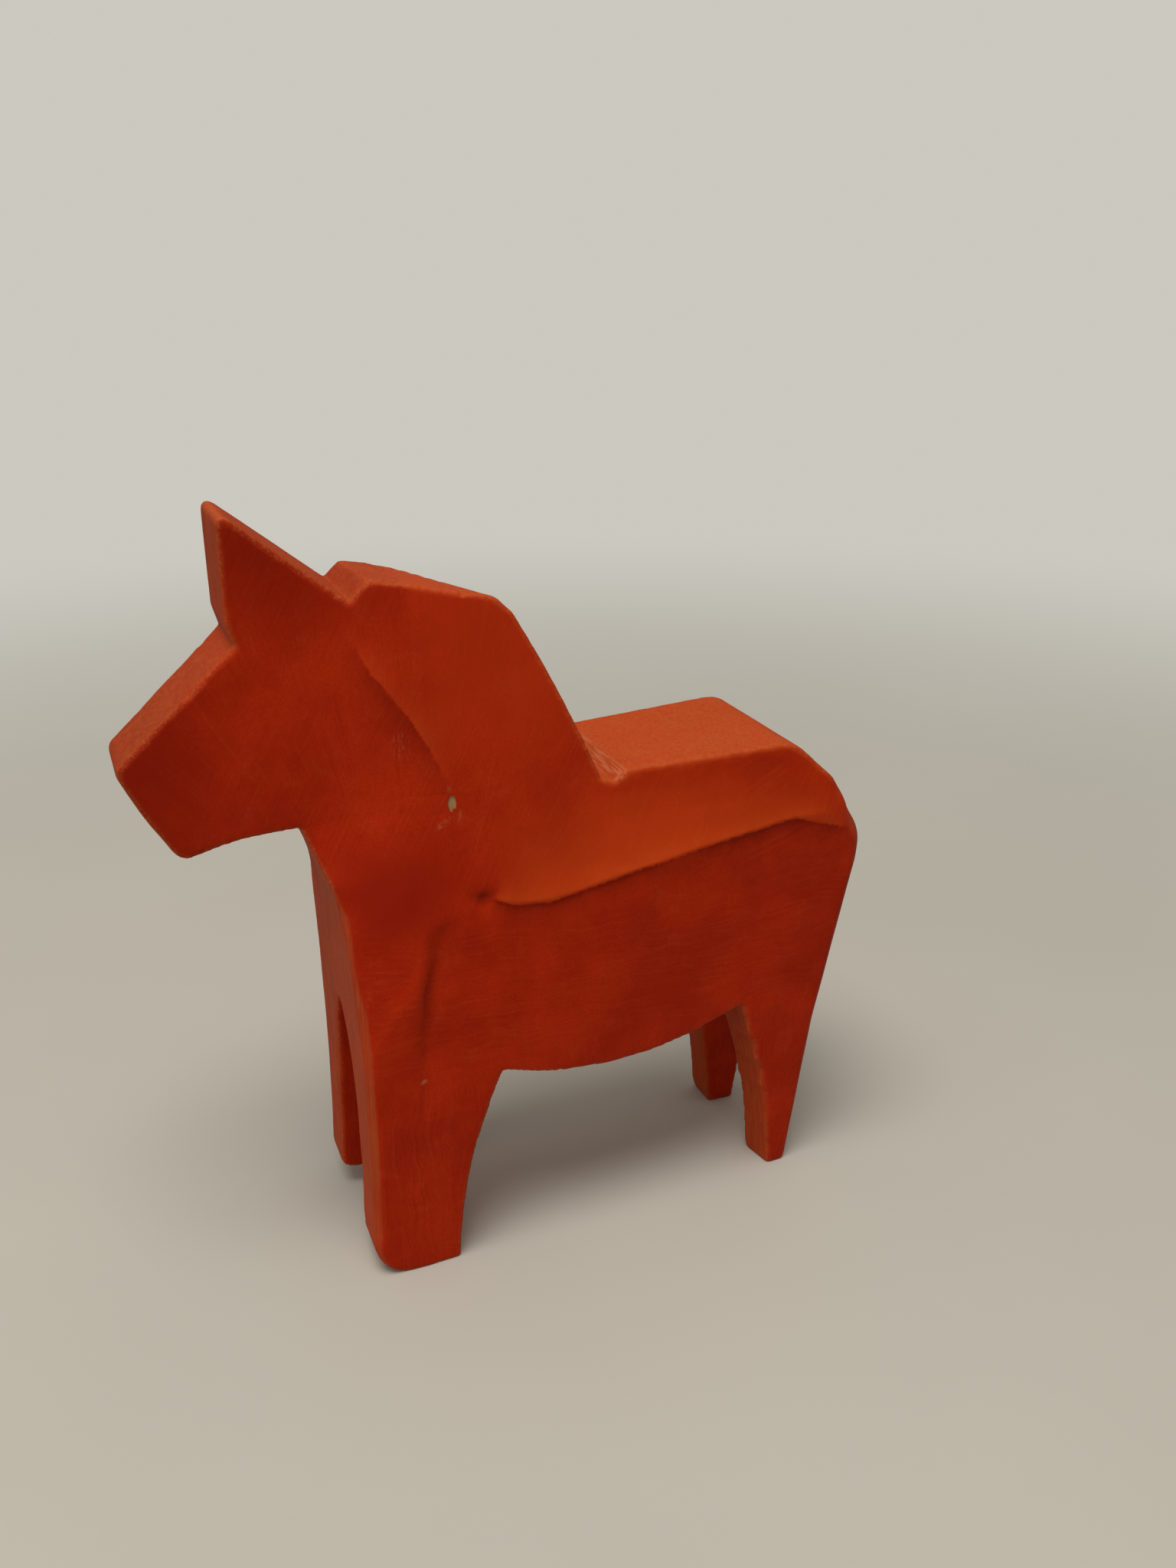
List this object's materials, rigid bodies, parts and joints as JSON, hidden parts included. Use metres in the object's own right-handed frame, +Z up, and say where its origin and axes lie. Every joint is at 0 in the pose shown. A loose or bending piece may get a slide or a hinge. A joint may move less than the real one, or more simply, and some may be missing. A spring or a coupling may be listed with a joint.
{
  "type": "dala horse",
  "caption": "Small hand-carved wooden horse with angular facets, a pointed ear block, arched neck and straight legs, in plain matte red paint.",
  "frame": {"origin": "on the floor, midway between the two sides of the board and midway along the horse's length", "axes": "+Z up, the horse faces -Y, and +X is the horse's own left side"},
  "size_m": [0.05, 0.1748, 0.1804],
  "materials": {
    "pine": "bare sawn and carved pine",
    "red_paint": "matte brushed paint, worn and chipped"
  },
  "bodies": {
    "root": {"carved_pine_body": "pine", "red_paint_coat": "red_paint"}
  },
  "joints": []
}
